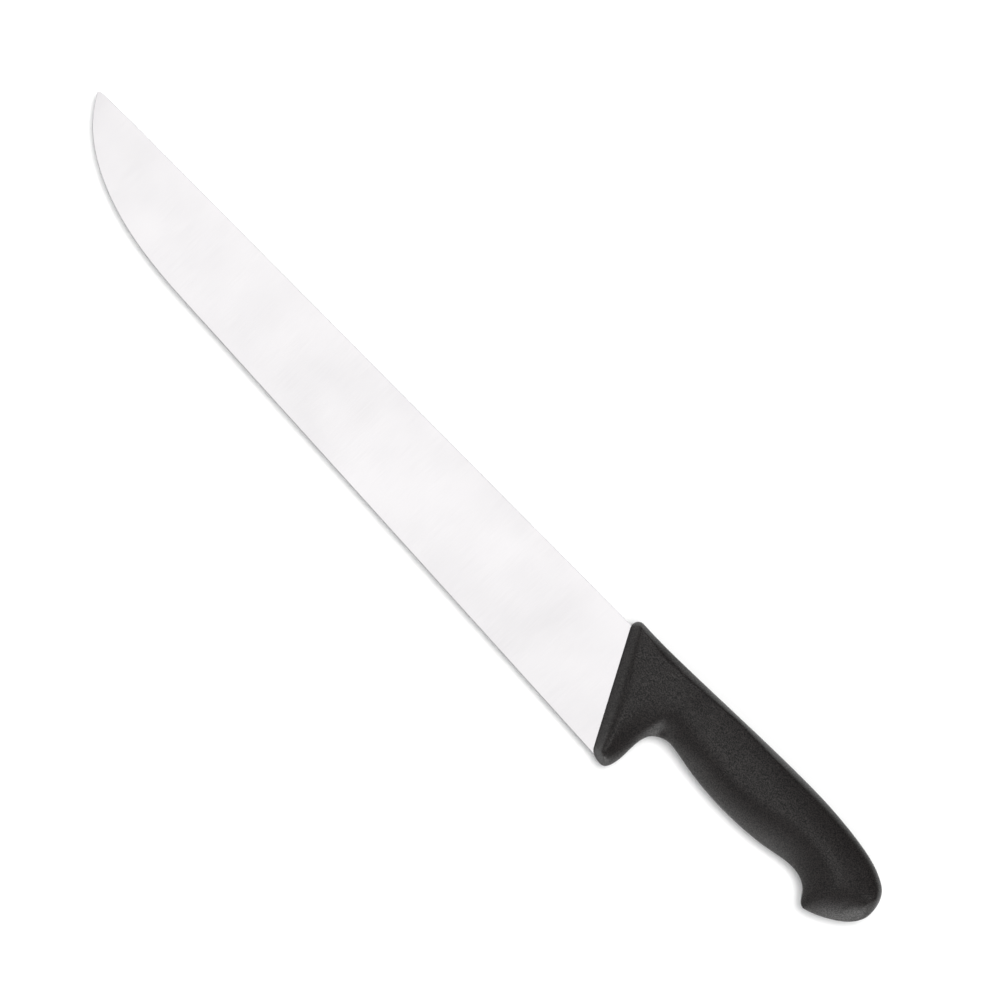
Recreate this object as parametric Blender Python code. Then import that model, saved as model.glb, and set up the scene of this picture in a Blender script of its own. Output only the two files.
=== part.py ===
"""Butcher knife: a stainless blade whose hidden tang is locked in a one-piece moulded handle.

Plan axes: x runs from the blade's tip to the handle's butt, y is zero on the spine line and
positive above it, z is zero at the blade's middle plane. The knife lies on its side. An empty
carries both pieces, so that the origin is the middle of the box they fill, at the bottom.
"""

import math
from collections import namedtuple

import bmesh
import bpy
import numpy as np

# Blade, in metres
SPINE_RUN = 0.3338  # tip to collar, along the spine
HEEL_WIDTH = 0.0521  # spine line to cutting edge, at the collar
SPINE_THICKNESS = 0.0028  # at the collar
TIP_THICKNESS = 0.0012
EDGE_THICKNESS = 0.0005  # behind the sharpened bevel
BEVEL_WIDTH = 0.0008
TIP_DIP = 0.0005  # fall of the spine towards the tip
TIP_DIP_LENGTH = 0.026
TIP_BLUNT = 0.0012  # height of the tip's end
NOSE_LENGTH = 0.0099  # tip to where the steep nose ends
NOSE_WIDTH = 0.0145
SWEEP_LENGTH = 0.0445  # tip to the middle of the sweep
SWEEP_WIDTH = 0.0326
STRAIGHT_START = 0.1102  # tip to where the edge runs straight
STRAIGHT_WIDTH = 0.0401

# Tang, inside the handle
HEEL_HOLD = 0.0012  # how far the heel's corner runs into the collar
TANG_STEP = 0.002  # spine line down to the tang's upper side
TANG_COVER = 0.0052  # plastic between the tang and the top of the finger notch
TANG_SHOULDER = 0.0029  # guard's rear wall to where the tang's lower side begins
TANG_BACK = 0.0535  # tang's end to the butt
TANG_END_WIDTH = 0.012
TANG_CORNER = 0.003
HOLE_RADIUS = 0.003
HOLE_COUNT = 3
HOLE_FRONT = 0.0095  # tang's shoulder to the first hole's centre
HOLE_BACK = 0.011  # last hole's centre to the tang's end
FIT_GAP = 0.0003  # between steel and plastic

# Handle's outline
COLLAR_ANGLE = 28.2  # slant of the collar's front edge, in degrees
HANDLE_LENGTH = 0.1655  # collar at the spine to the butt
COLLAR_RISE = 0.0039  # plastic above the spine line
COLLAR_CORNER = 0.0061  # length of the rounded upper corner
COLLAR_RUN = 0.0342  # length of the collar's level back
GRIP_RISE = 0.0058
GRIP_RISE_BACK = 0.0602  # highest point of the grip's back to the butt
GUARD_LENGTH = 0.0107  # heel to the guard's rear wall
GUARD_LIP = 0.0011  # plastic below the cutting edge
GUARD_ROUND = 0.0044
NOTCH_WIDTH = 0.0119  # guard's rear wall to the top of the finger notch
NOTCH_LEVEL = 0.0252
BELLY_LEVEL = 0.0290
WAIST_LEVEL = 0.0250
WAIST_BACK = 0.0397
HOOK_LEVEL = 0.0301
HOOK_RUN = 0.0058  # middle of the hook to the beak
BEAK_LEVEL = 0.0344
BEAK_BACK = 0.0221
BUTT_LOW_BACK = 0.0093
BUTT_LOW_LEVEL = 0.0283
BUTT_LEVEL = 0.0150  # spine line down to the butt's furthest point
BUTT_HIGH_BACK = 0.0082
BUTT_HIGH_LEVEL = 0.0014
SHOULDER_BACK = 0.0273
SHOULDER_RISE = 0.0037

# Handle's thickness, from side to side
COLLAR_THICKNESS = 0.0126  # behind the sloping band of the front edge
CREASE_THICKNESS = 0.0174  # where the collar meets the grip
CREASE_RUN = 0.0355  # from the band to there
SWELL_RUN = 0.0300  # from there to the full grip
GRIP_THICKNESS = 0.0210
GRIP_SWELL = 0.0003  # crown that the flat of each side leaves out
WAIST_THICKNESS = 0.0200
BEAK_THICKNESS = 0.0204
BUTT_THICKNESS = 0.0186
SIDE_CROWN = 0.0006  # how much lower a side is at its edges than in its middle
LIP_WALL = 0.0007  # plastic over the steel at the collar's front edge
PARTING_LAND = 0.00015  # half height of the upright land along the parting line

# Width of the rounding or bevel along the handle's rim
BAND_WIDTH = 0.0040  # on the collar's front edge
COLLAR_ROUND = 0.0031
BACK_ROUND = 0.0065
SHOULDER_ROUND = 0.0095
GUARD_BEVEL = 0.0037
SCOOP_WIDTH = 0.0078
NOTCH_ROUND = 0.0095
BELLY_ROUND = 0.0125
WAIST_ROUND = 0.0105
HOOK_ROUND = 0.0065
BEAK_ROUND = 0.0045
BUTT_BEVEL = 0.0068
BUTT_ROUND = 0.0085

# Profile of that rounding: 1 is a straight chamfer, 2 a quarter of an ellipse
ROUND = 2.0
SOFT = 1.6
BEVEL = 1.3

# Fineness of the meshes
EDGE_STEPS = 9
FRONT_STEPS = (0.03, 0.1, 0.2, 0.33, 0.48, 0.64, 0.81)
RIM_STEPS = (0.0, 0.05, 0.14, 0.28, 0.46, 0.68, 1.0)
SIDE_STEPS = 6
OUTLINE_STEPS = 40
# Columns in each stretch of the lower outline behind the guard's lowest point, and how far the
# point of the back that each stretch ends at lies behind that of the lower outline
COLUMNS = (5, 4, 5, 4, 3, 4, 4, 3, 5, 6, 5, 8)
LEAN = (-0.024, -0.016, -0.006, -0.002, -0.001, 0.0, 0.0, 0.0, -0.001, 0.003, 0.001, 0.0)
HOLE_SIDES = 24

Knot = namedtuple("Knot", "x y heading width shape land")


def remove_all():
    for obj in list(bpy.data.objects):
        bpy.data.objects.remove(obj)


def material(name, colour, roughness, metallic):
    """A Principled material of one colour."""
    made = bpy.data.materials.new(name)
    made.use_nodes = True
    shader = made.node_tree.nodes["Principled BSDF"]
    shader.inputs["Base Color"].default_value = (*colour, 1)
    shader.inputs["Roughness"].default_value = roughness
    shader.inputs["Metallic"].default_value = metallic
    made.diffuse_color = (*colour, 1)
    return made


def solid(name, corners, faces, look=None, cutter=False):
    """A closed mesh object from its corners and faces, facing out."""
    mesh = bpy.data.meshes.new(name)
    build = bmesh.new()
    verts = [build.verts.new(corner) for corner in corners]
    for face in faces:
        build.faces.new([verts[i] for i in face])
    bmesh.ops.recalc_face_normals(build, faces=build.faces)
    build.to_mesh(mesh)
    build.free()
    return place(name, mesh, look, cutter)


def place(name, mesh, look=None, cutter=False):
    """The mesh as an object. A cutter is only drawn as wires."""
    obj = bpy.data.objects.new(name, mesh)
    bpy.context.scene.collection.objects.link(obj)
    if look:
        mesh.materials.append(look)
    if cutter:
        obj.display_type = "WIRE"
        obj.hide_render = True
    return obj


def cut(target, cutter):
    """Takes the cutter's shape out of the target."""
    step = target.modifiers.new(cutter.name, "BOOLEAN")
    step.operation = "DIFFERENCE"
    step.solver = "EXACT"
    step.object = cutter


def stretch(start, end, steps):
    """Points from the start up to the end on one smooth cubic. A turn makes it swing wider."""
    a = np.array([start.x, start.y])
    b = np.array([end.x, end.y])
    turn = math.radians((end.heading - start.heading + 180) % 360 - 180)
    reach = np.linalg.norm(b - a) * 2 / (1 + math.cos(turn / 2))
    leave, arrive = (
        reach * np.array([math.cos(math.radians(k.heading)), math.sin(math.radians(k.heading))])
        for k in (start, end)
    )
    t = np.linspace(0, 1, steps, endpoint=False)[:, None]
    return (
        (2 * t**3 - 3 * t**2 + 1) * a
        + (t**3 - 2 * t**2 + t) * leave
        + (3 * t**2 - 2 * t**3) * b
        + (t**3 - t**2) * arrive
    )


def line_through(knots, steps):
    """One smooth line through the knots, and the values of the rim at each of its points."""
    parts = [stretch(a, b, steps) for a, b in zip(knots, knots[1:])]
    points = np.vstack(parts + [np.array([[knots[-1].x, knots[-1].y]])])
    at = np.arange(len(points)) / steps
    rim = np.array([[k.width, k.shape, k.land] for k in knots])
    values = np.stack([np.interp(at, np.arange(len(knots)), rim[:, i]) for i in range(3)], axis=1)
    return points, values


def along(points):
    """Length of a line up to each of its points."""
    return np.concatenate([[0], np.cumsum(np.linalg.norm(np.diff(points, axis=0), axis=1))])


def point_on(points, measure, value):
    """The point of a line where a measure that grows along it has this value."""
    return np.array([np.interp(value, measure, points[:, i]) for i in range(2)])


def collar_x(y):
    """Where the collar's front edge is, at height y."""
    return SPINE_RUN - y * math.tan(math.radians(COLLAR_ANGLE))


def collar_depth(points):
    """How far points lie behind the collar's front edge."""
    return (points[..., 0] - collar_x(points[..., 1])) * math.cos(math.radians(COLLAR_ANGLE))


HEEL_X = collar_x(-HEEL_WIDTH)
GUARD_X = HEEL_X + GUARD_LENGTH
NOTCH_X = GUARD_X + NOTCH_WIDTH
BUTT_X = SPINE_RUN + HANDLE_LENGTH
TANG_X = GUARD_X + TANG_SHOULDER
TANG_END_X = BUTT_X - TANG_BACK
TANG_LOW = NOTCH_LEVEL - TANG_COVER
TANG_MIDDLE = -(TANG_STEP + TANG_LOW) / 2


def blank_rows():
    """The steel blank from tip to tang, as (x, upper y, lower y, half thickness above and below,
    width of the bevel)."""
    fall = math.atan2(STRAIGHT_WIDTH - HEEL_WIDTH, HEEL_X - STRAIGHT_START)
    heel = HEEL_X + HEEL_HOLD
    heel_y = -HEEL_WIDTH + HEEL_HOLD * math.tan(fall)
    edge = [
        (0.0, -TIP_DIP - TIP_BLUNT, -56),
        (NOSE_LENGTH, -NOSE_WIDTH, -43),
        (SWEEP_LENGTH, -SWEEP_WIDTH, -16.5),
        (STRAIGHT_START, -STRAIGHT_WIDTH, math.degrees(fall)),
        (heel, heel_y, math.degrees(fall)),
    ]
    points, _ = line_through([Knot(*knot, 0, 0, 0) for knot in edge], EDGE_STEPS)
    step_start = SPINE_RUN + COLLAR_CORNER
    step_end = SPINE_RUN + 3 * COLLAR_CORNER
    full = SPINE_THICKNESS / 2
    rows = []
    for x in sorted([*points[:, 0], step_start, step_end]):
        dip = TIP_DIP * max(0.0, 1 - x / TIP_DIP_LENGTH) ** 2
        step = TANG_STEP * min(max((x - step_start) / (step_end - step_start), 0.0), 1.0)
        low = np.interp(x, points[:, 0], points[:, 1])
        above = (TIP_THICKNESS + (SPINE_THICKNESS - TIP_THICKNESS) * min(1.0, x / SPINE_RUN)) / 2
        bevel = min(BEVEL_WIDTH, (-dip - low) / 3)
        rows.append((x, -dip - step, low, above, EDGE_THICKNESS / 2, bevel))
    for share in (0.2, 0.5, 1.0):
        x = heel + share * (TANG_X - heel)
        low = heel_y + share * (-TANG_LOW - heel_y)
        below = EDGE_THICKNESS / 2 + share * (full - EDGE_THICKNESS / 2)
        rows.append((x, -TANG_STEP, low, full, below, BEVEL_WIDTH * (1 - share)))
    corner_x = TANG_END_X - TANG_CORNER
    wide = (TANG_LOW - TANG_STEP) / 2
    for share in (0.33, 0.67, 1.0):
        half = wide + share * (TANG_END_WIDTH / 2 - wide)
        x = TANG_X + share * (corner_x - TANG_X)
        rows.append((x, TANG_MIDDLE + half, TANG_MIDDLE - half, full, full, 0.0))
    for turn in (30, 60, 90):
        x = corner_x + TANG_CORNER * math.sin(math.radians(turn))
        half = TANG_END_WIDTH / 2 - TANG_CORNER * (1 - math.cos(math.radians(turn)))
        rows.append((x, TANG_MIDDLE + half, TANG_MIDDLE - half, full, full, 0.0))
    return np.array(rows)


def moved_out(points, amount):
    """A line moved to its left by the amount, with mitred corners."""
    way = np.diff(points, axis=0)
    way /= np.linalg.norm(way, axis=1)[:, None]
    left = np.stack([-way[:, 1], way[:, 0]], axis=1)
    mean = (np.vstack([left[:1], left]) + np.vstack([left, left[-1:]])) / 2
    return points + amount * mean / (mean**2).sum(axis=1)[:, None]


def blank(name, grow=0.0, look=None, cutter=False):
    """The blank as a solid, with every side moved out by grow."""
    rows = blank_rows()
    upper = moved_out(rows[:, [0, 1]], grow)
    lower = moved_out(rows[:, [0, 2]], -grow)
    upper[-1] += (grow, -grow)
    lower[-1] += (grow, grow)
    corners = []
    for (x, y), (low_x, low_y), row in zip(upper, lower, rows):
        above, below, bevel = row[3] + grow, row[4] + grow, row[5]
        corners += [(x, y, above), (low_x, low_y + bevel, below), (low_x, low_y, 0.0)]
        corners += [(low_x, low_y + bevel, -below), (x, y, -above)]
    faces = []
    for i in range(len(rows) - 1):
        for k in range(5):
            a = i * 5 + k
            b = i * 5 + (k + 1) % 5
            faces.append((a, b, b + 5, a + 5))
    faces.append(tuple(range(5)))
    faces.append(tuple(len(corners) - 5 + k for k in range(5)))
    return solid(name, corners, faces, look, cutter)


def tang_holes(name, radius):
    """Pins through the tang's holes, in one mesh."""
    build = bmesh.new()
    for x in np.linspace(TANG_X + HOLE_FRONT, TANG_END_X - HOLE_BACK, HOLE_COUNT):
        pin = bmesh.ops.create_cone(
            build,
            cap_ends=True,
            segments=HOLE_SIDES,
            radius1=radius,
            radius2=radius,
            depth=3 * SPINE_THICKNESS,
        )
        bmesh.ops.translate(build, verts=pin["verts"], vec=(x, TANG_MIDDLE, 0))
    mesh = bpy.data.meshes.new(name)
    build.to_mesh(mesh)
    build.free()
    return place(name, mesh, cutter=True)


def make_blade():
    steel = material("stainless_steel", (0.80, 0.80, 0.80), 0.28, 1.0)
    blade = blank("blade", look=steel)
    cut(blade, tang_holes("tang_holes", HOLE_RADIUS))
    blade.data.shade_smooth()
    blade.data.set_sharp_from_angle(angle=math.radians(8))
    return blade


def lower_knots():
    """The handle's outline from the collar's front edge to the butt, round the guard, the notch,
    the belly and the beak."""
    lip = SPINE_THICKNESS / 2 + FIT_GAP + LIP_WALL
    land = PARTING_LAND
    front = HEEL_WIDTH - GUARD_ROUND
    guard_low = HEEL_WIDTH + GUARD_LIP
    guard_middle = (guard_low + NOTCH_LEVEL) / 2
    waist = BUTT_X - WAIST_BACK
    run = waist - NOTCH_X
    sag = BELLY_LEVEL - NOTCH_LEVEL
    rise = BELLY_LEVEL - WAIST_LEVEL
    beak = BUTT_X - BEAK_BACK
    slant = COLLAR_ANGLE - 90
    return [
        Knot(collar_x(-front), -front, slant, BAND_WIDTH, BEVEL, lip),
        Knot(
            HEEL_X - 0.06 * GUARD_ROUND, 0.28 * GUARD_ROUND - HEEL_WIDTH, slant + 10.4,
            BAND_WIDTH, SOFT, 0.6 * lip,
        ),
        Knot(GUARD_X - GUARD_ROUND, -guard_low, 0, GUARD_BEVEL, ROUND, land),
        Knot(
            GUARD_X - 0.11 * GUARD_ROUND, 1.36 * GUARD_ROUND - guard_low, 79.5,
            GUARD_BEVEL, SOFT, land,
        ),
        Knot(GUARD_X, 0.08 * NOTCH_WIDTH - guard_middle, 88.2, GUARD_BEVEL, SOFT, land),
        Knot(
            GUARD_X + 0.3 * NOTCH_WIDTH, -NOTCH_LEVEL - 0.21 * NOTCH_WIDTH, 38.4,
            SCOOP_WIDTH, BEVEL, land,
        ),
        Knot(NOTCH_X, -NOTCH_LEVEL, -3.5, NOTCH_ROUND, SOFT, land),
        Knot(NOTCH_X + 0.182 * run, -NOTCH_LEVEL - 0.555 * sag, -7.8, NOTCH_ROUND, SOFT, land),
        Knot(NOTCH_X + 0.487 * run, -BELLY_LEVEL, 0.5, BELLY_ROUND, ROUND, land),
        Knot(NOTCH_X + 0.82 * run, -WAIST_LEVEL - 0.5 * rise, 10.7, BELLY_ROUND, ROUND, land),
        Knot(waist, -WAIST_LEVEL, 0.3, WAIST_ROUND, ROUND, land),
        Knot(beak - HOOK_RUN, -HOOK_LEVEL, -52, HOOK_ROUND, SOFT, land),
        Knot(beak, -BEAK_LEVEL, 17.8, BEAK_ROUND, SOFT, land),
        Knot(BUTT_X - BUTT_LOW_BACK, -BUTT_LOW_LEVEL, 33.6, BUTT_BEVEL, BEVEL, land),
        Knot(BUTT_X, -BUTT_LEVEL, 90, BUTT_BEVEL, BEVEL, land),
    ]


def upper_knots():
    """The handle's outline from the collar's front edge, along the back, to the butt."""
    lip = SPINE_THICKNESS / 2 + FIT_GAP + LIP_WALL
    land = PARTING_LAND
    start = -0.4 * COLLAR_RISE
    slant = COLLAR_ANGLE + 90
    return [
        Knot(collar_x(start), start, slant, BAND_WIDTH, BEVEL, lip),
        Knot(SPINE_RUN + 0.07 * COLLAR_CORNER, 0.11 * COLLAR_RISE, slant - 14.7, BAND_WIDTH, BEVEL, lip),
        Knot(SPINE_RUN + COLLAR_CORNER, COLLAR_RISE, -3, COLLAR_ROUND, ROUND, land),
        Knot(SPINE_RUN + COLLAR_RUN, COLLAR_RISE, 1.4, COLLAR_ROUND, ROUND, land),
        Knot(BUTT_X - GRIP_RISE_BACK, GRIP_RISE, 0, BACK_ROUND, ROUND, land),
        Knot(BUTT_X - SHOULDER_BACK, SHOULDER_RISE, -8, SHOULDER_ROUND, ROUND, land),
        Knot(BUTT_X - BUTT_HIGH_BACK, -BUTT_HIGH_LEVEL, -27, BUTT_ROUND, ROUND, land),
        Knot(BUTT_X, -BUTT_LEVEL, -90, BUTT_BEVEL, BEVEL, land),
    ]


def smooth_steps(x, stops):
    """A value that eases from each (place, value) to the next."""
    places = [place_x for place_x, _ in stops]
    values = np.array([value for _, value in stops])
    at = np.interp(x, places, np.arange(len(stops)))
    low = np.minimum(at.astype(int), len(stops) - 2)
    t = at - low
    return values[low] + (values[low + 1] - values[low]) * (3 * t**2 - 2 * t**3)


def half_thickness(points, share):
    """Half the handle's thickness away from its rim. The share is 0 at the lower outline and 1 at
    the back."""
    depth = collar_depth(points)
    slope = (CREASE_THICKNESS - COLLAR_THICKNESS) / CREASE_RUN
    collar = (COLLAR_THICKNESS + slope * (depth - BAND_WIDTH)) / 2
    crease = SPINE_RUN + (BAND_WIDTH + CREASE_RUN) / math.cos(math.radians(COLLAR_ANGLE))
    swell = (GRIP_THICKNESS + GRIP_SWELL) / 2
    grip = smooth_steps(
        points[..., 0],
        [
            (crease, CREASE_THICKNESS / 2),
            (crease + SWELL_RUN, swell),
            (BUTT_X - GRIP_RISE_BACK, swell),
            (BUTT_X - WAIST_BACK, WAIST_THICKNESS / 2),
            (BUTT_X - BEAK_BACK, BEAK_THICKNESS / 2),
            (BUTT_X, BUTT_THICKNESS / 2),
        ],
    )
    return np.minimum(collar, grip) - SIDE_CROWN * (2 * share - 1) ** 2


def distances(points, segments):
    """Distance of each point to each segment of the outline, and the rim's values at the place of
    that segment which is nearest."""
    start, way, rim, rim_way = segments
    offset = points[:, None, :] - start[None]
    t = np.clip((offset * way).sum(axis=2) / (way**2).sum(axis=1), 0, 1)
    gap = np.linalg.norm(offset - t[..., None] * way, axis=2)
    return gap, rim + t[..., None] * rim_way


def outline_segments(lower, lower_rim, upper, upper_rim):
    """The outline's segments: the lower line, the upper line and the collar's front edge."""
    start = np.vstack([lower[:-1], upper[:-1], upper[:1]])
    end = np.vstack([lower[1:], upper[1:], lower[:1]])
    rim = np.vstack([lower_rim[:-1], upper_rim[:-1], upper_rim[:1]])
    rim_end = np.vstack([lower_rim[1:], upper_rim[1:], lower_rim[:1]])
    return start, end - start, rim, rim_end - rim


def side_height(points, share, segments):
    """How far the handle's side stands out from the middle plane: its rim's roundings and bevels
    rise from the land to the half thickness, and the lowest of them counts."""
    gap, rim = distances(points, segments)
    width, shape, land = rim[..., 0], rim[..., 1], rim[..., 2]
    rest = np.clip(1 - gap / width, 0, 1)
    risen = (1 - rest**shape) ** (1 / shape)
    half = half_thickness(points, share)[:, None]
    return np.minimum((land + (half - land) * risen).min(axis=1), GRIP_THICKNESS / 2)


def handle_columns(lower, upper):
    """Pairs of points, one on the lower outline and one on the back, with the rim's width at each.
    Near the collar the pairs run along its front edge, further back they turn upright."""
    low_line, low_rim = lower
    high_line, high_rim = upper
    turn = 2 * OUTLINE_STEPS
    low_length = along(low_line)
    high_length = along(high_line)
    low_depth = collar_depth(low_line[:turn + 1])
    high_depth = collar_depth(high_line[:turn + 1])
    places = [(0.0, 0.0)]
    for share in FRONT_STEPS:
        places.append((
            np.interp(share * low_depth[-1], low_depth, low_length[:turn + 1]),
            np.interp(share * high_depth[-1], high_depth, high_length[:turn + 1]),
        ))
    low_from, high_from = low_length[turn], high_length[turn]
    for i, (count, lean) in enumerate(zip(COLUMNS, LEAN)):
        knot = turn + (i + 1) * OUTLINE_STEPS
        low_to = low_length[knot]
        high_to = np.interp(low_line[knot, 0] + lean, high_line[turn:, 0], high_length[turn:])
        for share in np.arange(count) / count:
            places.append((
                low_from + share * (low_to - low_from),
                high_from + share * (high_to - high_from),
            ))
        low_from, high_from = low_to, high_to
    return [
        (
            point_on(low_line, low_length, low),
            point_on(high_line, high_length, high),
            np.interp(low, low_length, low_rim[:, 0]),
            np.interp(high, high_length, high_rim[:, 0]),
        )
        for low, high in places
    ]


def shares_across(low, high, low_width, high_width, segments):
    """Where a column has its points: close together in the rounding at both of its ends."""
    fine = np.linspace(0, 1, 161)
    gap, _ = distances(low + fine[:, None] * (high - low), segments)
    near = gap.min(axis=1)
    peak = int(near.argmax())
    rim = np.array(RIM_STEPS)
    up = np.maximum.accumulate(near[:peak + 1])
    down = np.maximum.accumulate(near[peak:][::-1])
    first = np.interp(rim * min(low_width, 0.9 * near[peak]), up, fine[:peak + 1])
    last = 1 - np.interp(rim * min(high_width, 0.9 * near[peak]), down, 1 - fine[peak:][::-1])
    middle = np.linspace(first[-1], last[-1], SIDE_STEPS + 1)[1:-1]
    return np.concatenate([first, middle, last[::-1]])


def make_handle():
    plastic = material("black_polypropylene", (0.030, 0.029, 0.028), 0.45, 0.0)
    lower = line_through(lower_knots(), OUTLINE_STEPS)
    upper = line_through(upper_knots(), OUTLINE_STEPS)
    segments = outline_segments(*lower, *upper)
    columns = handle_columns(lower, upper)
    corners = []
    for i, (low, high, low_width, high_width) in enumerate(columns):
        guide = columns[max(i, 1)]
        share = shares_across(*guide, segments)
        points = low + share[:, None] * (high - low)
        height = side_height(points, share, segments)
        corners += [(x, y, z) for (x, y), z in zip(points, height)]
    rows = len(corners) // len(columns)
    corners.append((BUTT_X, -BUTT_LEVEL, PARTING_LAND))
    far = len(corners)
    corners += [(x, y, -z) for x, y, z in corners]

    def corner(i, j):
        return i * rows + j if i < len(columns) else far - 1

    faces = []
    for i in range(len(columns)):
        for j in range(rows - 1):
            ring = [corner(i, j), corner(i + 1, j), corner(i + 1, j + 1), corner(i, j + 1)]
            ring = list(dict.fromkeys(ring))
            faces.append(ring)
            faces.append([far + k for k in reversed(ring)])
        for j in (0, rows - 1):
            a, b = corner(i, j), corner(i + 1, j)
            faces.append([a, b, far + b, far + a])
    for j in range(rows - 1):
        faces.append([j, j + 1, far + j + 1, far + j])
    handle = solid("handle", corners, faces, plastic)
    slot = blank("tang_slot", FIT_GAP, cutter=True)
    cut(slot, tang_holes("tang_plugs", HOLE_RADIUS - FIT_GAP))
    cut(handle, slot)
    handle.data.shade_smooth()
    handle.data.set_sharp_from_angle(angle=math.radians(28))
    return handle


def main():
    remove_all()
    knife = bpy.data.objects.new("knife", None)
    bpy.context.scene.collection.objects.link(knife)
    middle_y = (GRIP_RISE - HEEL_WIDTH - GUARD_LIP) / 2
    knife.location = (-BUTT_X / 2, -middle_y, GRIP_THICKNESS / 2)
    make_blade()
    make_handle()
    for obj in list(bpy.data.objects):
        if obj.type == "MESH":
            obj.parent = knife


main()
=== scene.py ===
import math

import bmesh
import bpy
import numpy as np
from mathutils import Matrix, Vector


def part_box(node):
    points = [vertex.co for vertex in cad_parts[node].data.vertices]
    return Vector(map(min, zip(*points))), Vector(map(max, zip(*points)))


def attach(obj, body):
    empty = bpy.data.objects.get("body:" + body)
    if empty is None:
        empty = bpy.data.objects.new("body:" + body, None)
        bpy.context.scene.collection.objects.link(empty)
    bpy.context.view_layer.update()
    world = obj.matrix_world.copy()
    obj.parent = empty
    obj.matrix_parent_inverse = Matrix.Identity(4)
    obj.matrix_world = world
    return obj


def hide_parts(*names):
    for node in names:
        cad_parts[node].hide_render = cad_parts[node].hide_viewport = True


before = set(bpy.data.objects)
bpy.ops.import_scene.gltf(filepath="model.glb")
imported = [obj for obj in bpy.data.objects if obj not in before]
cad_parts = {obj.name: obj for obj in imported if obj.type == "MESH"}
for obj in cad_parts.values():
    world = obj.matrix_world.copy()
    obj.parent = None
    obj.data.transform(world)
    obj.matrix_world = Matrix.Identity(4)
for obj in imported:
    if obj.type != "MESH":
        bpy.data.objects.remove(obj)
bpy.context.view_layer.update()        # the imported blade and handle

# Plan of the knife, in metres: x from the tip to the butt, y from the spine line towards the back,
# z from the blade's middle plane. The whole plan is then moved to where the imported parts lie.
bladeLow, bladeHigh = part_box("blade")
planShift = Vector((bladeLow.x, bladeHigh.y, (bladeLow.z + bladeHigh.z) / 2))


def linearColour(code):
    # sRGB hex to the linear values that shaders take
    parts = [int(code[i:i + 2], 16) / 255 for i in (1, 3, 5)]
    return [p / 12.92 if p <= 0.04045 else ((p + 0.055) / 1.055) ** 2.4 for p in parts] + [1.0]


def addNode(tree, kind, settings=None, values=None, links=None):
    # one node with its settings, its fixed values and its incoming links
    node = tree.nodes.new(kind)
    for name, value in (settings or {}).items():
        setattr(node, name, value)
    for name, value in (values or {}).items():
        node.inputs[name].default_value = value
    for name, source in (links or {}).items():
        tree.links.new(source, node.inputs[name])
    return node


def newMaterial(name):
    made = bpy.data.materials.new(name)
    made.use_nodes = True
    made.node_tree.nodes.clear()
    return made, made.node_tree


def finishMaterial(tree, shader):
    addNode(tree, "ShaderNodeOutputMaterial", links={"Surface": shader.outputs[0]})


def addToScene(name, data):
    made = bpy.data.objects.new(name, data)
    bpy.context.scene.collection.objects.link(made)
    return made


def finishMesh(build, name, material=None):
    mesh = bpy.data.meshes.new(name)
    build.to_mesh(mesh)
    build.free()
    if material:
        mesh.materials.append(material)
    return addToScene(name, mesh)


def meshObject(name, corners, faces, material=None):
    # closed mesh in the plan's axes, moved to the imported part's place
    build = bmesh.new()
    verts = [build.verts.new(c) for c in corners]
    for face in faces:
        build.faces.new([verts[i] for i in face])
    bmesh.ops.recalc_face_normals(build, faces=build.faces)
    piece = finishMesh(build, name, material)
    piece.data.transform(Matrix.Translation(planShift))
    return piece


def cutFrom(piece, cutter):
    step = piece.modifiers.new("cut", "BOOLEAN")
    step.operation = "DIFFERENCE"
    step.solver = "EXACT"
    step.object = cutter
    bpy.context.view_layer.update()
    evaluated = piece.evaluated_get(bpy.context.evaluated_depsgraph_get())
    mesh = bpy.data.meshes.new_from_object(evaluated)
    piece.modifiers.clear()
    piece.data = mesh
    bpy.data.objects.remove(cutter)


def shadeSmooth(piece, sharpAngle):
    # crisp lines stay where faces meet at more than the sharp angle
    piece.data.shade_smooth()
    piece.data.set_sharp_from_angle(angle=math.radians(sharpAngle))


def hermiteSpan(start, end, steps):
    # points from start up to end, each (x, y, heading in degrees), on one smooth cubic
    a, b = np.array(start[:2]), np.array(end[:2])
    turn = math.radians((end[2] - start[2] + 180) % 360 - 180)
    reach = np.linalg.norm(b - a) * 2 / (1 + math.cos(turn / 2))
    leave = reach * np.array([math.cos(math.radians(start[2])), math.sin(math.radians(start[2]))])
    arrive = reach * np.array([math.cos(math.radians(end[2])), math.sin(math.radians(end[2]))])
    t = np.linspace(0, 1, steps, endpoint=False)[:, None]
    return ((2 * t**3 - 3 * t**2 + 1) * a + (t**3 - 2 * t**2 + t) * leave
            + (3 * t**2 - 2 * t**3) * b + (t**3 - t**2) * arrive)


def smoothLine(knots, steps):
    parts = [hermiteSpan(a, b, steps) for a, b in zip(knots, knots[1:])]
    return np.vstack(parts + [np.array([knots[-1][:2]])])


def lineLength(points):
    # the length of the line up to each of its points
    return np.concatenate([[0], np.cumsum(np.linalg.norm(np.diff(points, axis=0), axis=1))])


def smoothStep(value):
    t = np.clip(value, 0, 1)
    return t * t * (3 - 2 * t)


# The camera looks straight down on the knife as it lies, turned so that the tip is at the upper left.
cameraView = {
    "width": 0.4428,  # what the picture shows across, at the blade, in metres
    "turn": 45.243,  # of the knife's length, clockwise from the picture's horizontal
    "middle": (0.25371, -0.00244),  # plan point in the middle of the picture
    "lens": 400,  # mm; long, so that the handle's height hardly shows
    "sensorWidth": 36,  # mm
    "farthest": 50,  # metres that the camera sees
}


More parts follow.
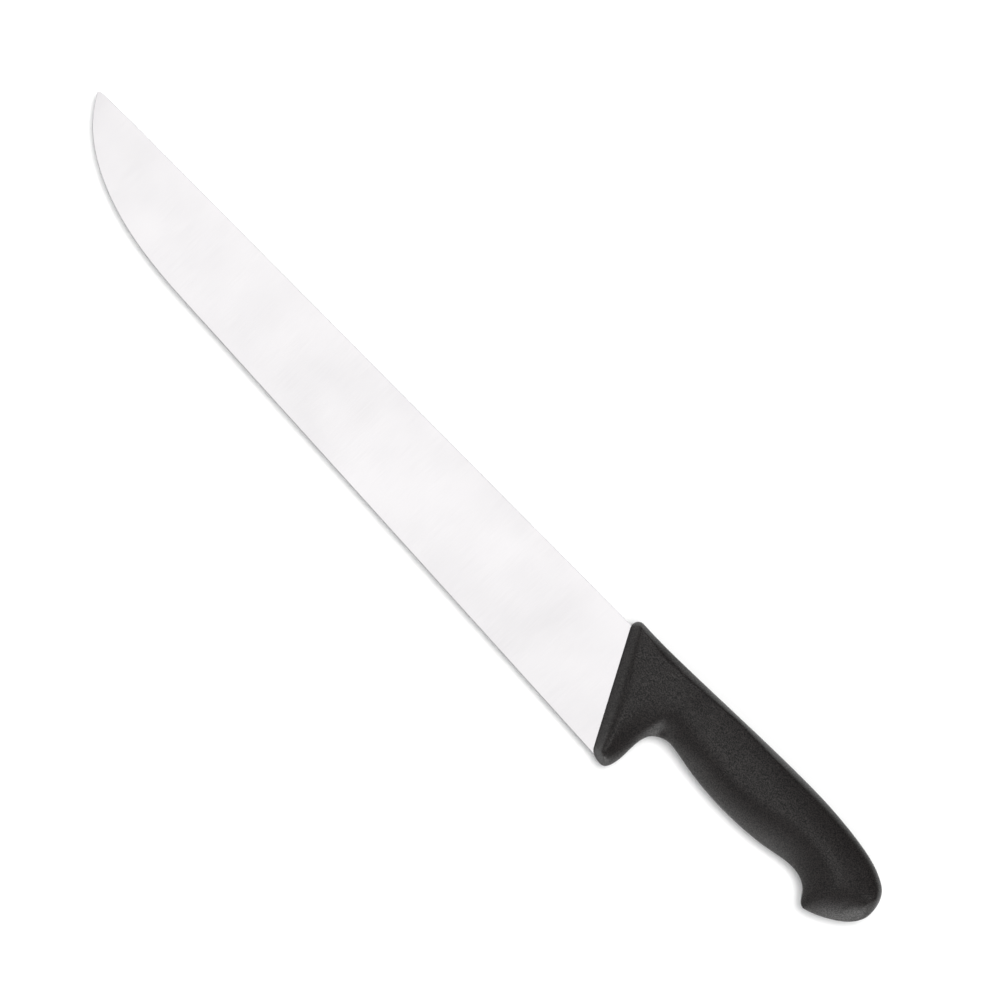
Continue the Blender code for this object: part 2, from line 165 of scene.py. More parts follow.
def makeCamera():
    view = cameraView
    data = bpy.data.cameras.new("camera")
    data.lens = view["lens"]
    data.sensor_width = view["sensorWidth"]
    data.clip_end = view["farthest"]
    height = view["width"] * data.lens / data.sensor_width
    camera = addToScene("camera", data)
    camera.location = planShift + Vector((*view["middle"], height))
    camera.rotation_euler = (0, 0, math.radians(view["turn"]))
    bpy.context.scene.camera = camera
    print("camera", tuple(round(v, 4) for v in camera.location))


makeCamera()

# The blade, in metres and degrees. Pairs of a depth and a length say how far a line falls, and over
# what length from the tip.
bladeSizes = {
    "spineRun": 0.3338,  # tip to collar along the spine
    "spineDrop": 0.00025,  # the spine below the plan's zero line
    "noseDip": (0.0005, 0.026),  # the spine bends down slightly towards the tip
    "tipRound": (0.0009, 0.0016),  # the tip's end is rounded, not cut off square
    "spineThickness": 0.0028,
    "spineRound": 0.00012,  # rounding of the spine's corners
    "spineRoundShare": 0.6,  # its largest share of the half thickness, for the thin tip
    "heelWidth": 0.0522,
    "heelHold": 0.0012,  # how far the edge line goes on inside the handle
    "collarAngle": 28.2,  # of the collar's front edge, off square to the spine
    "behindEdge": 0.00012,  # thickness where the sharpened bevel starts
    "bevelWidth": 0.0002,
    "edgeHalf": 0.00002,  # half thickness of the edge itself
    "edgeLift": 0.00001,  # how much of the edge is honed away
    # x, y and heading of the cutting edge, from the tip to where it starts to run straight
    "nose": [(0.0, -0.0021, -57), (0.0098, -0.0147, -43), (0.0444, -0.0330, -16.5)],
    "straightStart": (0.1102, -0.0405),
    "tangStep": (0.0061, 0.0183),  # behind the spine's run, where the tang's top steps down
    "tangTop": -0.0020,
    "tangShoulder": (0.3753, -0.0200),  # where the heel has narrowed to the tang
    "tangEnd": 0.4458,
    "tangEndWidth": 0.012,
    "tangCorner": 0.003,  # radius at the tang's end
    "tangHoles": (0.3848, 0.4098, 0.4348),  # x of the flow holes
    "holeRadius": 0.003,
    "pinLength": 0.009,  # of the pins that cut the holes, longer than the tang is thick
    "alongSteps": 44,  # stations between two knots of the edge line
    # shares of the way from heel to shoulder, and from there to the tang's end, that have a station
    "shoulderShares": (0.1, 0.2, 0.35, 0.5, 0.75, 1.0),
    "tangShares": (0.25, 0.5, 0.75, 1.0),
    "cornerTurns": (15, 30, 45, 60, 75, 90),
    # shares of the way from the spine's rounding to the bevel, closer together at both ends
    "faceShares": (0.004, 0.02, 0.1, 0.25, 0.4, 0.55, 0.7, 0.85, 0.96, 0.995, 1.0),
    "sharpAngle": 16,
}


def collarX(y):
    return bladeSizes["spineRun"] - y * math.tan(math.radians(bladeSizes["collarAngle"]))


def bladeStations():
    # (x, upper y, lower y, half thickness at the spine, half thickness above the bevel, bevel width)
    s = bladeSizes
    heelX = collarX(-s["heelWidth"])
    startX, startY = s["straightStart"]
    fall = math.atan2(-s["heelWidth"] - startY, heelX - startX)
    endX = heelX + s["heelHold"]
    endY = -s["heelWidth"] + s["heelHold"] * math.tan(fall)
    knots = s["nose"] + [(startX, startY, math.degrees(fall)), (endX, endY, math.degrees(fall))]
    line = smoothLine(knots, s["alongSteps"])
    full, thin = s["spineThickness"] / 2, s["behindEdge"] / 2
    stepStart, stepEnd = (s["spineRun"] + far for far in s["tangStep"])
    rows = []
    for x in sorted([*line[:, 0], stepStart, stepEnd]):
        dip, blunt = (depth * max(0.0, 1 - x / run) ** 2 for depth, run in (s["noseDip"], s["tipRound"]))
        top = -(s["spineDrop"] + dip) - blunt
        down = min(max((x - stepStart) / (stepEnd - stepStart), 0), 1)
        low = np.interp(x, line[:, 0], line[:, 1])
        # the sides are ground flat, so the spine is as thick as the blade is wide there
        half = thin + (full - thin) * min(1, (top - low) / s["heelWidth"])
        # at the very tip the bevel takes a third of the width
        bevel = min(s["bevelWidth"], (top - low) / 3)
        rows.append((x, top - (-s["tangTop"] - s["spineDrop"]) * down, low, half, thin, bevel))
    shoulderX, shoulderY = s["tangShoulder"]
    for share in s["shoulderShares"]:
        rows.append((endX + share * (shoulderX - endX), s["tangTop"], endY + share * (shoulderY - endY),
                     full, thin + share * (full - thin), s["bevelWidth"] * (1 - share)))
    middle, shoulderHalf = (s["tangTop"] + shoulderY) / 2, (s["tangTop"] - shoulderY) / 2
    endHalf, corner = s["tangEndWidth"] / 2, s["tangCorner"]
    cornerX = s["tangEnd"] - corner
    for share in s["tangShares"]:
        half = shoulderHalf + share * (endHalf - shoulderHalf)
        x = shoulderX + share * (cornerX - shoulderX)
        rows.append((x, middle + half, middle - half, full, full, 0.0))
    for turn in s["cornerTurns"]:
        half = endHalf - corner * (1 - math.cos(math.radians(turn)))
        x = cornerX + corner * math.sin(math.radians(turn))
        rows.append((x, middle + half, middle - half, full, full, 0.0))
    return np.array(rows)


def movedOut(points, amount):
    # a line moved to its left, with mitred corners
    way = np.diff(points, axis=0)
    way /= np.linalg.norm(way, axis=1)[:, None]
    left = np.stack([-way[:, 1], way[:, 0]], axis=1)
    mean = (np.vstack([left[:1], left]) + np.vstack([left, left[-1:]])) / 2
    return points + amount * mean / (mean**2).sum(axis=1)[:, None]


def bladeBody(name, grow, material=None):
    # lofts the section from tip to tang; grow moves every side out, for the handle's slot
    s = bladeSizes
    rows = bladeStations()
    upper = movedOut(rows[:, [0, 1]], grow)
    lower = movedOut(rows[:, [0, 2]], -grow)
    corners, count = [], None
    for (x, top), (lowX, low), row in zip(upper, lower, rows):
        half, thin, bevel = row[3] + grow, row[4] + grow, row[5]
        corner = min(s["spineRound"], s["spineRoundShare"] * half)
        side = []
        for turn in np.linspace(0, 90, 7):
            a = math.radians(turn)
            side.append((x, top - corner * (1 - math.cos(a)), half - corner * (1 - math.sin(a))))
        first, last = top - corner, low + bevel
        for share in s["faceShares"]:
            y, z = first + share * (last - first), half + share * (thin - half)
            side.append((x + share * (lowX - x), y, z))
        if bevel > 0:
            side.append((lowX, low + s["edgeLift"], s["edgeHalf"]))
        else:
            side.append((lowX, low, s["edgeHalf"] + thin / 2))  # on the tang's flat underside
        ring = side + [(a, b, -c) for a, b, c in reversed(side)]
        count = len(ring)
        corners += ring
    faces = []
    for i in range(len(rows) - 1):
        for k in range(count):
            a, b = i * count + k, i * count + (k + 1) % count
            faces.append((a, b, b + count, a + count))
    # a strip of small faces across closes the tip, and one face the tang
    faces += [(k, k + 1, count - 2 - k, count - 1 - k) for k in range(count // 2 - 1)]
    faces.append(tuple(len(corners) - count + k for k in range(count)))
    return meshObject(name, corners, faces, material)


def tangPins(name, radius):
    # pins through the tang's flow holes
    s = bladeSizes
    middle = (s["tangShoulder"][1] + s["tangTop"]) / 2
    build = bmesh.new()
    for x in s["tangHoles"]:
        pin = bmesh.ops.create_cone(build, cap_ends=True, segments=40, radius1=radius, radius2=radius,
                                    depth=s["pinLength"])
        bmesh.ops.translate(build, verts=pin["verts"], vec=planShift + Vector((x, middle, 0)))
    return finishMesh(build, name)


# Stainless knife steel, ground flat and finished crosswise with fine belts: a pale satin face with
# short lines across it and hardly any colour.
steelLook = {
    "colour": "#E5E3E4",
    "roughness": 0.24,
    "roughnessSpread": 0.03,  # up and down, along lines and patches
    "lineSpacing": 0.45,  # mm; belt marks are about 0.1 mm apart, drawn coarser so that they show
    "lineLength": 14.0,  # mm
    "cloudSize": 35.0,  # mm, broad uneven patches left by the belt
    "lineWeight": 0.6,  # of the lines beside the patches
    "bump": 0.02,
    "bumpDepth": 0.2,  # mm
}


def steelMaterial():
    look = steelLook
    material, tree = newMaterial("satinGroundStainlessSteel")
    place = addNode(tree, "ShaderNodeTexCoord").outputs["Object"]
    lineScale = (1000 / look["lineSpacing"], 1000 / look["lineLength"], 1)
    across = addNode(tree, "ShaderNodeMapping", values={"Scale": lineScale}, links={"Vector": place})
    lines = addNode(tree, "ShaderNodeTexNoise",
                    values={"Scale": 1.0, "Detail": 3.0, "Roughness": 0.6},
                    links={"Vector": across.outputs[0]})
    clouds = addNode(tree, "ShaderNodeTexNoise",
                     values={"Scale": 1000 / look["cloudSize"], "Detail": 2.0},
                     links={"Vector": place})
    both = addNode(tree, "ShaderNodeMath", {"operation": "MULTIPLY_ADD"},
                   values={1: look["lineWeight"]},
                   links={0: lines.outputs["Fac"], 2: clouds.outputs["Fac"]})
    rough = addNode(tree, "ShaderNodeMapRange",
                    values={"From Min": 0.45, "From Max": 1.15,  # the noises' usual range
                            "To Min": look["roughness"] - look["roughnessSpread"],
                            "To Max": look["roughness"] + look["roughnessSpread"]},
                    links={"Value": both.outputs[0]})
    bump = addNode(tree, "ShaderNodeBump",
                   values={"Strength": look["bump"], "Distance": look["bumpDepth"] / 1000},
                   links={"Height": lines.outputs["Fac"]})
    shader = addNode(tree, "ShaderNodeBsdfPrincipled",
                     values={"Base Color": linearColour(look["colour"]), "Metallic": 1.0},
                     links={"Roughness": rough.outputs[0], "Normal": bump.outputs[0]})
    finishMaterial(tree, shader)
    return material


def makeBlade():
    blade = bladeBody("bladeGround", 0.0, steelMaterial())
    cutFrom(blade, tangPins("tangPins", bladeSizes["holeRadius"]))
    shadeSmooth(blade, bladeSizes["sharpAngle"])
    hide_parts("blade")
    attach(blade, "root")
    print("blade", len(blade.data.polygons), "faces")


makeBlade()

# The handle, in metres and degrees.
handleSizes = {
    "gripHalf": 0.0105,  # half of the greatest thickness
    "collarHalf": 0.0079,  # half thickness where the collar's front bevel ends
    "bevelEnd": 0.0040,  # the bevel's depth behind the front edge
    "collarSlope": 0.0466,  # how fast the collar's side rises behind the bevel
    "creaseAt": (0.3773, 0.39),  # x of the crease on the spine line, and its lean
    "creaseLow": -0.024,  # below this the crease runs straight down
    "creaseRound": (0.003, 0.00008),  # reach and height of the fillet in the crease
    "swellRun": 0.0120,  # crease to the full grip
    # hollow for the forefinger behind the guard: it starts at an x, with a steep side and a slow one,
    # and it starts below a height and gets deeper downwards
    "hollow": {"depth": 0.0026, "start": 0.3707, "steepRun": 0.0067, "slowRun": 0.0060,
               "top": -0.0119, "downRun": 0.0126},
    # places along the grip and the half thickness there
    "grip": [(0.4086, 0.0105), (0.4391, 0.0105), (0.4596, 0.0099), (0.4772, 0.0100), (0.4993, 0.0093)],
    "evenOver": 0.0025,  # how far the middle of a side is evened out
    "evenFrom": 0.003,  # how far inside the outline that starts
    "evenRun": 0.005,  # and over what length it reaches its full strength
    "evenRounds": 60,
    "slotClearance": 0.00005,  # between the blade and its slot
    "sharpAngle": 40,
}


def outlineKnots():
    # x, y and heading in degrees, from the collar's front edge to the butt, below and above
    lower = [
        (collarX(-0.0467), -0.0467, -64.1),
        (0.3610, -0.0506, -50.8),
        (0.3680, -0.0532, 0),
        (0.3723, -0.0462, 81.9),
        (0.3726, -0.0382, 88),
        (0.3761, -0.0276, 38.6),
        (0.3842, -0.0250, -4.4),
        (0.3978, -0.0272, -8.3),
        (0.4209, -0.0290, 0.4),
        (0.4462, -0.0270, 10.2),
        (0.4597, -0.0249, 0.4),
        (0.4713, -0.0298, -52.7),
        (0.4770, -0.0343, 16),
        (0.4900, -0.0282, 33.1),
        (0.4993, -0.0150, 90),
    ]
    upper = [
        (collarX(-0.0016), -0.0016, 118.9),
        (0.3342, -0.0001, 102.4),
        (0.3377, 0.0041, -3),
        (0.3680, 0.0041, 1.7),
        (0.4391, 0.0060, 0.1),
        (0.4720, 0.0039, -7.8),
        (0.4936, -0.0026, -32),
        (0.4993, -0.0150, -90),
    ]
    return lower, upper


# The rim along those lines: the place counted in knots, then in millimetres the width of the
# rounding, its profile (1 is a chamfer, 2 an ellipse, 3 squarer), the height of the upright wall
# from the seam, how far the side's crown falls towards the rim, and over what width.
lowerRim = [
    (0, 5.4, 1.3, 1.2, 2.9, 6.4),  # collar's front
    (1, 3.8, 1.3, 1.2, 4.4, 6.0),
    (2, 4.6, 1.3, 1.2, 3.0, 6.0),  # guard's lowest point
    (3, 7.9, 1.8, 1.34, 3.9, 11.1),
    (4, 11.5, 2.43, 2.02, 3.1, 19.4),  # guard's rear
    (4.5, 12.0, 2.2, 2.25, 2.2, 18.7),
    (5, 13.7, 2.19, 2.86, 3.2, 22.0),  # scoop for the forefinger
    (5.5, 12.3, 2.18, 3.02, 3.1, 19.4),
    (6, 11.6, 2.15, 3.81, 3.2, 22.0),  # top of the notch
    (6.5, 10.2, 1.57, 3.6, 2.3, 22.0),
    (7, 10.2, 1.36, 2.78, 1.9, 21.9),
    (8, 13.1, 1.64, 1.79, 0.9, 22.0),  # belly
    (9, 16.2, 1.47, 1.81, 0.5, 22.0),
    (10, 14.9, 1.33, 2.41, 0.4, 22.0),
    (10.5, 17.0, 1.45, 3.09, 0.7, 22.0),
    (11, 17.0, 1.51, 3.59, 1.2, 22.0),  # hook
    (11.5, 16.3, 1.3, 3.72, 2.1, 22.0),
    (12, 13.6, 1.3, 3.59, 2.7, 21.7),  # beak
    (13, 8.9, 1.88, 2.52, 4.5, 22.0),
    (13.5, 7.1, 1.38, 2.16, 4.5, 22.0),
    (14, 5.5, 1.54, 2.1, 2.7, 20.2),  # butt
]
upperRim = [
    (0, 5.4, 1.3, 2.09, 0.0, 10.7),  # collar's front
    (1, 3.6, 1.3, 2.68, 0.1, 16.0),
    (2, 2.2, 1.3, 3.66, 0.0, 21.0),
    (2.5, 3.2, 1.3, 4.0, 1.4, 22.0),
    (3, 3.2, 1.3, 4.0, 1.3, 22.0),
    (3.4, 2.2, 1.93, 3.8, 2.0, 22.0),
    (3.73, 2.8, 1.59, 3.12, 2.1, 15.4),
    (4, 3.1, 1.79, 2.81, 2.8, 18.0),  # highest point of the grip's back
    (4.5, 3.4, 2.09, 2.56, 3.2, 18.3),
    (5, 3.7, 2.59, 2.57, 3.9, 19.6),
    (5.5, 4.2, 2.73, 2.63, 3.2, 18.9),
    (6, 3.2, 2.09, 2.34, 3.1, 22.0),
    (6.5, 3.6, 1.91, 2.22, 1.5, 20.1),
    (7, 5.5, 1.54, 2.1, 2.7, 20.2),  # butt
]

# How the handle's side is divided into columns, from the lower outline to the back, and rows.
handleGrid = {
    "spanSteps": 44,  # points between two knots of an outline
    "collarSpans": 2,  # spans of both lines where the columns lie along the collar's front edge
    "collarColumns": 24,
    "collarCrowding": 1.6,  # above 1 they lie closer together at the front edge
    # for each later span of the lower line: its number of columns, and how much nearer to the butt
    # than its end the last of them meets the back, in metres
    "spanColumns": [(14, -0.024), (12, -0.016), (16, -0.006), (12, -0.002), (12, -0.001), (18, 0.0),
                    (18, 0.0), (12, 0.0), (20, -0.001), (18, 0.003), (16, 0.001), (26, 0.0)],
    # shares of the rim's width that have a row, closer together at the outline
    "rimShares": [0, 0.006, 0.02, 0.045, 0.08, 0.12, 0.17, 0.23, 0.3, 0.38, 0.46, 0.55, 0.64, 0.73,
                  0.82, 0.9, 0.96, 1.0],
    "rimReach": 0.9,  # a rim's rows take at most this share of the way to the ridge
    "middleRows": 25,
    "probes": 241,  # points tried along a column to find its distance from the outline
}


def outlineLine(knots, rim):
    # points along an outline, and the rim's five measures at each of them, in metres
    points = smoothLine(knots, handleGrid["spanSteps"])
    at = np.arange(len(points)) / handleGrid["spanSteps"]
    rim = np.array(rim) * (1, 0.001, 1, 0.001, 0.001, 0.001)
    values = np.stack([np.interp(at, rim[:, 0], rim[:, i]) for i in range(1, 6)], axis=1)
    return points, values


def collarDepth(points):
    # how far points lie behind the collar's front edge
    slant = math.radians(bladeSizes["collarAngle"])
    front = bladeSizes["spineRun"] - points[..., 1] * math.tan(slant)
    return (points[..., 0] - front) * math.cos(slant)


def gripThickness(x):
    # half thickness along the grip, which eases from each listed place to the next
    stops = np.array(handleSizes["grip"])
    at = np.interp(x, stops[:, 0], np.arange(len(stops)))
    low = np.minimum(at.astype(int), len(stops) - 2)
    start, end = stops[low, 1], stops[low + 1, 1]
    return start + (end - start) * smoothStep(at - low)


def halfThickness(points):
    # the collar's sides slope up to the crease, behind which the grip swells out
    s = handleSizes
    x, y = points[..., 0], points[..., 1]
    place, lean = s["creaseAt"]
    creaseX = place + lean * np.maximum(y, s["creaseLow"])
    behind = x - creaseX
    collar, start = (s["collarHalf"] + s["collarSlope"] * (collarDepth(p) - s["bevelEnd"])
                     for p in (points, np.stack([creaseX, y], axis=-1)))
    full = gripThickness(x)
    ease = 1 - np.clip(1 - behind / s["swellRun"], 0, None) ** 2
    grip = start + (full - start) * np.where(behind > 0, ease, 2 * behind / s["swellRun"])
    reach, lift = s["creaseRound"]
    fillet = lift * (1 - np.clip(behind / reach, -1, 1) ** 2) ** 2
    swollen = np.where(behind > 0, grip, collar) + fillet
    hollow = s["hollow"]
    past = x - hollow["start"]
    across = (smoothStep(past / hollow["steepRun"])
              * (1 - smoothStep((past - hollow["steepRun"]) / hollow["slowRun"])))
    deep = hollow["depth"] * across * smoothStep((hollow["top"] - y) / hollow["downRun"])
    return np.where(behind < s["swellRun"], swollen, full) - deep


def rimDistances(points, stretches):
    # each point's distance from each stretch of the outline, and the rim's measures there
    start, way, rim, rimWay = stretches
    offset = points[:, None, :] - start[None]
    t = np.clip((offset * way).sum(axis=2) / (way**2).sum(axis=1), 0, 1)
    gap = np.linalg.norm(offset - t[..., None] * way, axis=2)
    return gap, rim + t[..., None] * rimWay


def sideHeight(points, stretches):
    # every stretch of the outline has its own rounding and crown, and the lowest of them counts
    gap, rim = rimDistances(points, stretches)
    width, profile, wall, crown, crownWidth = (rim[..., i] for i in range(5))
    rest = np.clip(1 - gap / width, 0, 1)
    risen = (1 - rest**profile) ** (1 / profile)
    fall = crown * np.clip(1 - gap / crownWidth, 0, 1) ** 2
    half = halfThickness(points)[:, None]
    height = (wall + (half - fall - wall) * risen).min(axis=1)
    return np.minimum(height, handleSizes["gripHalf"]), gap.min(axis=1)


def softened(grid, inside):
    # evens out the side's face, but not near the outline, where the rim's own rounding stays
    s = handleSizes
    share = smoothStep((inside - s["evenFrom"]) / s["evenRun"])
    for _ in range(s["evenRounds"]):
        for axis in (0, 1):
            place, height, part = (np.moveaxis(a, axis, 0) for a in (grid[..., :2], grid[..., 2], share))
            gap = np.linalg.norm(np.diff(place, axis=0), axis=-1)
            before, after = gap[:-1], gap[1:]
            level = (height[:-2] * after + height[2:] * before) / (before + after)
            pull = np.minimum(s["evenOver"] ** 2 / s["evenRounds"] / (before * after), 0.5)
            height[1:-1] += pull * part[1:-1] * (level - height[1:-1])
    return grid


def handleColumns(lower, upper):
    # ends of the columns on the lower outline and the back: along the collar's edge at first, then
    # upright; and the width of the rim's rounding at both ends
    grid = handleGrid
    lowLine, lowRim = lower
    highLine, highRim = upper
    turn = grid["collarSpans"] * grid["spanSteps"]
    lowLength, highLength = lineLength(lowLine), lineLength(highLine)
    lowDepth, highDepth = collarDepth(lowLine[:turn + 1]), collarDepth(highLine[:turn + 1])
    places = [(0.0, 0.0)]
    for share in np.linspace(0, 1, grid["collarColumns"] + 1)[1:-1] ** grid["collarCrowding"]:
        places.append((np.interp(share * lowDepth[-1], lowDepth, lowLength[:turn + 1]),
                       np.interp(share * highDepth[-1], highDepth, highLength[:turn + 1])))
    lowFrom, highFrom = lowLength[turn], highLength[turn]
    for i, (count, lean) in enumerate(grid["spanColumns"]):
        knot = turn + (i + 1) * grid["spanSteps"]
        lowTo = lowLength[knot]
        highTo = np.interp(lowLine[knot, 0] + lean, highLine[turn:, 0], highLength[turn:])
        for share in np.arange(count) / count:
            places.append((lowFrom + share * (lowTo - lowFrom), highFrom + share * (highTo - highFrom)))
        lowFrom, highFrom = lowTo, highTo
    ends = []
    for at, length, line, rim in zip(np.array(places).T, (lowLength, highLength), (lowLine, highLine),
                                     (lowRim, highRim)):
        ends.append(np.stack([np.interp(at, length, line[:, i]) for i in range(2)], axis=1))
        ends.append(np.interp(at, length, rim[:, 0]))
    return ends


def sharesAcross(low, lowWidth, high, highWidth, stretches):
    # where a column has its points: close together in the rounding at both of its ends
    grid = handleGrid
    shares = np.array(grid["rimShares"])
    fine = np.linspace(0, 1, grid["probes"])
    gap, _ = rimDistances(low + fine[:, None] * (high - low), stretches)
    near = gap.min(axis=1)
    peak = int(near.argmax())
    reach = grid["rimReach"] * near[peak]
    up = np.maximum.accumulate(near[:peak + 1])
    down = np.maximum.accumulate(near[peak:][::-1])
    first = np.interp(shares * min(lowWidth, reach), up, fine[:peak + 1])
    last = 1 - np.interp(shares * min(highWidth, reach), down, 1 - fine[peak:][::-1])
    middle = np.linspace(first[-1], last[-1], grid["middleRows"] + 2)[1:-1]
    return np.concatenate([first, middle, last[::-1]])


def outlineStretches(lower, upper):
    # start and way of each stretch: along the lower line, along the back, down the collar's front
    start = np.vstack([lower[:-1], upper[:-1], upper[:1]])
    end = np.vstack([lower[1:], upper[1:], lower[:1]])
    return start, end - start


def handleBody(material):
    lowerKnots, upperKnots = outlineKnots()
    lower, upper = outlineLine(lowerKnots, lowerRim), outlineLine(upperKnots, upperRim)
    stretches = [part for pair in zip(lower, upper) for part in outlineStretches(*pair)]
    lowPoints, lowWidths, highPoints, highWidths = handleColumns(lower, upper)
    columns = len(lowPoints)
    grid, inside = [], []
    for i in range(columns):
        g = max(i, 1)  # the front edge itself is divided as the column behind it
        share = sharesAcross(lowPoints[g], lowWidths[g], highPoints[g], highWidths[g], stretches)
        points = lowPoints[i] + share[:, None] * (highPoints[i] - lowPoints[i])
        height, near = sideHeight(points, stretches)
        grid.append(np.column_stack([points, height]))
        inside.append(near)
    rows = len(inside[0])
    corners = [tuple(c) for c in softened(np.array(grid), np.array(inside)).reshape(-1, 3)]
    # all rows meet in one point at the butt, and the other side is the mirror image
    corners.append((*lowerKnots[-1][:2], lower[1][-1, 2]))
    far = len(corners)
    corners += [(x, y, -z) for x, y, z in corners]

    def corner(i, j):
        return i * rows + j if i < columns else far - 1

    faces = []
    for i in range(columns):
        for j in range(rows - 1):
            around = [corner(i, j), corner(i + 1, j), corner(i + 1, j + 1), corner(i, j + 1)]
            ring = list(dict.fromkeys(around))
            faces.append(ring)
            faces.append([far + k for k in reversed(ring)])
        for j in (0, rows - 1):
            a, b = corner(i, j), corner(i + 1, j)
            faces.append([a, b, far + b, far + a])
    for j in range(rows - 1):
        faces.append([j, j + 1, far + j + 1, far + j])
    return meshObject("handleMoulded", corners, faces, material)


# Black polypropylene, injection moulded against a spark-eroded mould: nearly black, half matt, with
# a fine even grain; its base colour has painted shade in the pits and painted highlight on the tops as
# pale specks.
plasticLook = {
    # the pits' colour is painted shade and the tops' colour a painted highlight, on the real grain
    "pitPaintedShadeColour": "#040403",
    "topPaintedHighlightColour": "#1F1B19",
    "pitRoughness": 0.44,
    "topRoughness": 0.31,
    "pitSpecular": 0.41,
    "topSpecular": 0.64,
    "ior": 1.49,
    "grainSize": 0.5,  # mm; the mould's grain is about 0.2 mm, drawn coarser so that it shows
    "bump": 0.4,
    "bumpDepth": 0.2,  # mm
}


def plasticMaterial():
    look = plasticLook
    material, tree = newMaterial("sparkErodedBlackPolypropylene")
    place = addNode(tree, "ShaderNodeTexCoord").outputs["Object"]
    grain = addNode(tree, "ShaderNodeTexNoise",
                    values={"Scale": 1000 / look["grainSize"], "Detail": 1.0, "Roughness": 0.6},
                    links={"Vector": place})
    # 0 in the pits and 1 on the tops
    share = addNode(tree, "ShaderNodeMapRange", values={"From Min": 0.38, "From Max": 0.62},
                    links={"Value": grain.outputs["Fac"]})
    # base colour mixes painted shade for the grain's pits with painted highlight for its tops
    grainPaintedLight = addNode(tree, "ShaderNodeMix", {"data_type": "RGBA"},
                   values={6: linearColour(look["pitPaintedShadeColour"]), 7: linearColour(look["topPaintedHighlightColour"])},
                   links={0: share.outputs[0]})
    gloss = addNode(tree, "ShaderNodeMapRange",
                    values={"To Min": look["pitRoughness"], "To Max": look["topRoughness"]},
                    links={"Value": share.outputs[0]})
    shine = addNode(tree, "ShaderNodeMapRange",
                    values={"To Min": look["pitSpecular"], "To Max": look["topSpecular"]},
                    links={"Value": share.outputs[0]})
    bump = addNode(tree, "ShaderNodeBump",
                   values={"Strength": look["bump"], "Distance": look["bumpDepth"] / 1000},
                   links={"Height": grain.outputs["Fac"]})
    shader = addNode(tree, "ShaderNodeBsdfPrincipled", values={"IOR": look["ior"]},
                     links={"Base Color": grainPaintedLight.outputs[2], "Roughness": gloss.outputs[0],
                            "Specular IOR Level": shine.outputs[0], "Normal": bump.outputs[0]})
    finishMaterial(tree, shader)
    return material


def makeHandle():
    clearance = handleSizes["slotClearance"]
    handle = handleBody(plasticMaterial())
    slot = bladeBody("slot", clearance)
    cutFrom(slot, tangPins("slotPins", bladeSizes["holeRadius"] - clearance))
    cutFrom(handle, slot)
    shadeSmooth(handle, handleSizes["sharpAngle"])
    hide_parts("handle")
    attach(handle, "root")
    print("handle", len(handle.data.polygons), "faces")


makeHandle()

# A pale floor, a bright round of light overhead with a dim and slightly cool ring around it, a strong
# low light from the picture's bottom and weaker ones from its lower left and upper left.
studio = {
    "floorColour": "#F4F4F3",
    "floorRoughness": (0.6, 0.66),
    "floorPatches": 60.0,  # to the metre, faint unevenness in the paint's gloss
    "floorRadius": 12,  # metres
    # height above the horizon as a sine, colour and strength
    "sky": [(0.0, "#FFFFFF", 0.30), (0.3, "#FFFFFF", 0.29), (0.6, "#F1F2FF", 0.18),
            (0.945, "#F1F2FF", 0.18), (0.984, "#FFFFFF", 1.365), (1.0, "#FFFFFF", 1.39)],
    # direction, how far round it the light begins as a cosine, and strength
    "lowLights": [((0.70, -0.70, 0.15), 0.80, 3.4), ((-0.20, -0.98, 0.05), 0.70, 0.76),
                  ((-0.95, -0.10, 0.10), 0.20, 0.43)],
    # two soft lamps above the knife's back, as from one wide box, and a weak one across from them:
    # turn from the back, tilt off upright and strength
    "keys": [(-15, 12.5, 1.35), (38, 12.5, 1.5), (180, 25, 0.15)],
    "keySoftness": 24,  # degrees across
    "keyDistance": 3,  # metres; it doesn't change their light
}


def makeFloor():
    material, tree = newMaterial("paintedStudioFloor")
    place = addNode(tree, "ShaderNodeTexCoord").outputs["Object"]
    patches = addNode(tree, "ShaderNodeTexNoise",
                      values={"Scale": studio["floorPatches"], "Detail": 4.0},
                      links={"Vector": place})
    smoothest, roughest = studio["floorRoughness"]
    rough = addNode(tree, "ShaderNodeMapRange", values={"To Min": smoothest, "To Max": roughest},
                    links={"Value": patches.outputs["Fac"]})
    shader = addNode(tree, "ShaderNodeBsdfPrincipled",
                     values={"Base Color": linearColour(studio["floorColour"])},
                     links={"Roughness": rough.outputs[0]})
    finishMaterial(tree, shader)
    build = bmesh.new()
    bmesh.ops.create_circle(build, cap_ends=True, segments=96, radius=studio["floorRadius"])
    floor = finishMesh(build, "floor", material)


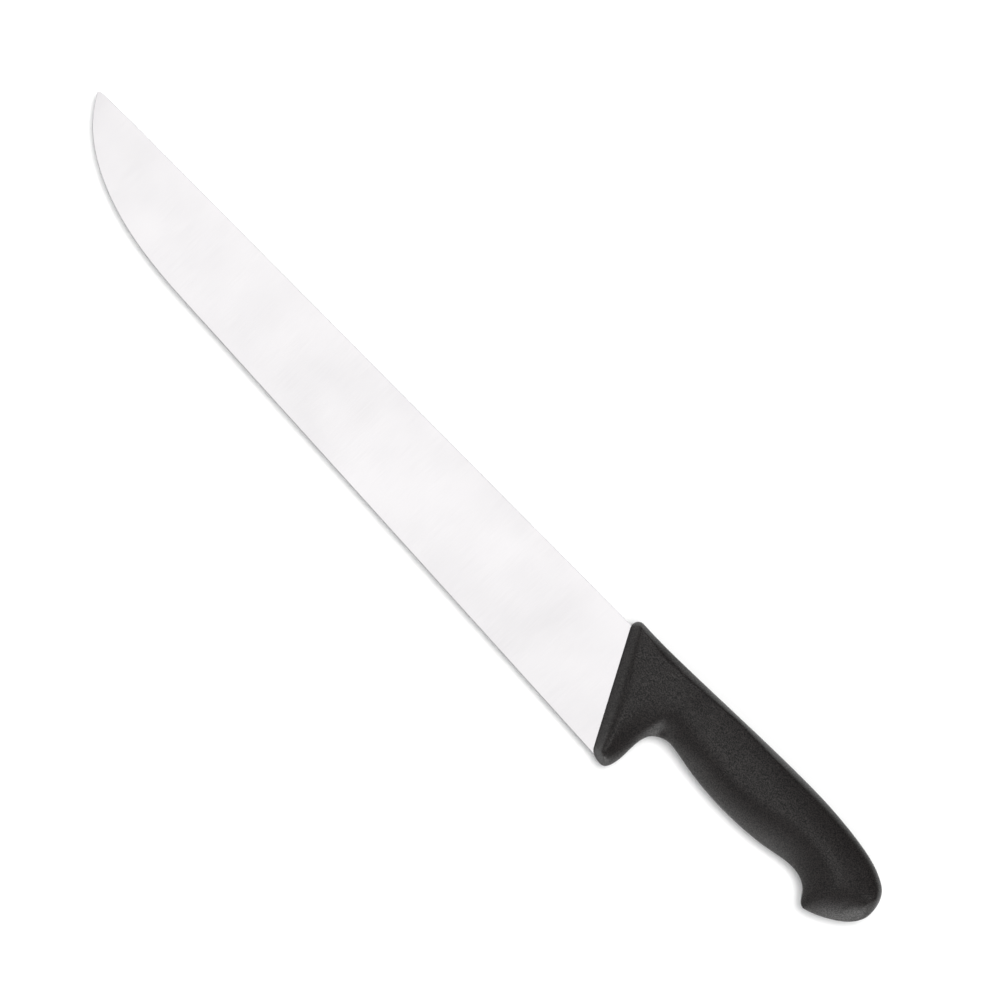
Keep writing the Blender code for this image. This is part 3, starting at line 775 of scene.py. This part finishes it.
def makeWorld():
    world = bpy.data.worlds.new("studioLight")
    world.use_nodes = True
    tree = world.node_tree
    tree.nodes.clear()
    around = addNode(tree, "ShaderNodeTexCoord").outputs["Generated"]
    way = addNode(tree, "ShaderNodeVectorMath", {"operation": "NORMALIZE"}, links={0: around}).outputs[0]
    height = addNode(tree, "ShaderNodeSeparateXYZ", links={0: way}).outputs["Z"]
    ramp = addNode(tree, "ShaderNodeValToRGB", links={0: height})
    elements = ramp.color_ramp.elements
    while len(elements) < len(studio["sky"]):
        elements.new(0.5)
    brightest = 2.0  # ramp colours stay below 1, and the background makes up for it
    for element, (place, colour, strength) in zip(elements, studio["sky"]):
        element.position = place
        element.color = [c * strength / brightest for c in linearColour(colour)[:3]] + [1]
    light = addNode(tree, "ShaderNodeBackground", values={"Strength": brightest},
                    links={"Color": ramp.outputs[0]})
    for direction, begins, strength in studio["lowLights"]:
        facing = addNode(tree, "ShaderNodeVectorMath", {"operation": "DOT_PRODUCT"},
                         values={1: Vector(direction).normalized()}, links={0: way})
        side = addNode(tree, "ShaderNodeMapRange", {"interpolation_type": "SMOOTHSTEP"},
                       values={"From Min": begins, "To Max": strength},
                       links={"Value": facing.outputs["Value"]})
        low = addNode(tree, "ShaderNodeBackground", values={"Color": (1, 1, 1, 1)},
                      links={"Strength": side.outputs[0]})
        light = addNode(tree, "ShaderNodeAddShader", links={0: light.outputs[0], 1: low.outputs[0]})
    addNode(tree, "ShaderNodeOutputWorld", links={"Surface": light.outputs[0]})
    bpy.context.scene.world = world


def makeKeys():
    # light the floor and cast the soft edge of shadow; kept out of reflections, as flagged lamps are
    for place, (turn, tilt, strength) in enumerate(studio["keys"]):
        name = "keyLight" + str(place + 1)
        data = bpy.data.lights.new(name, "SUN")
        data.energy = strength
        data.angle = math.radians(studio["keySoftness"])
        key = addToScene(name, data)
        t, a = math.radians(tilt), math.radians(turn)
        way = Vector((math.sin(t) * math.sin(a), math.sin(t) * math.cos(a), math.cos(t)))
        key.rotation_euler = way.to_track_quat("Z", "Y").to_euler()
        key.location = studio["keyDistance"] * way
        key.visible_glossy = False


makeFloor()
makeWorld()
makeKeys()
bpy.context.scene.view_settings.view_transform = "Standard"
print("studio")
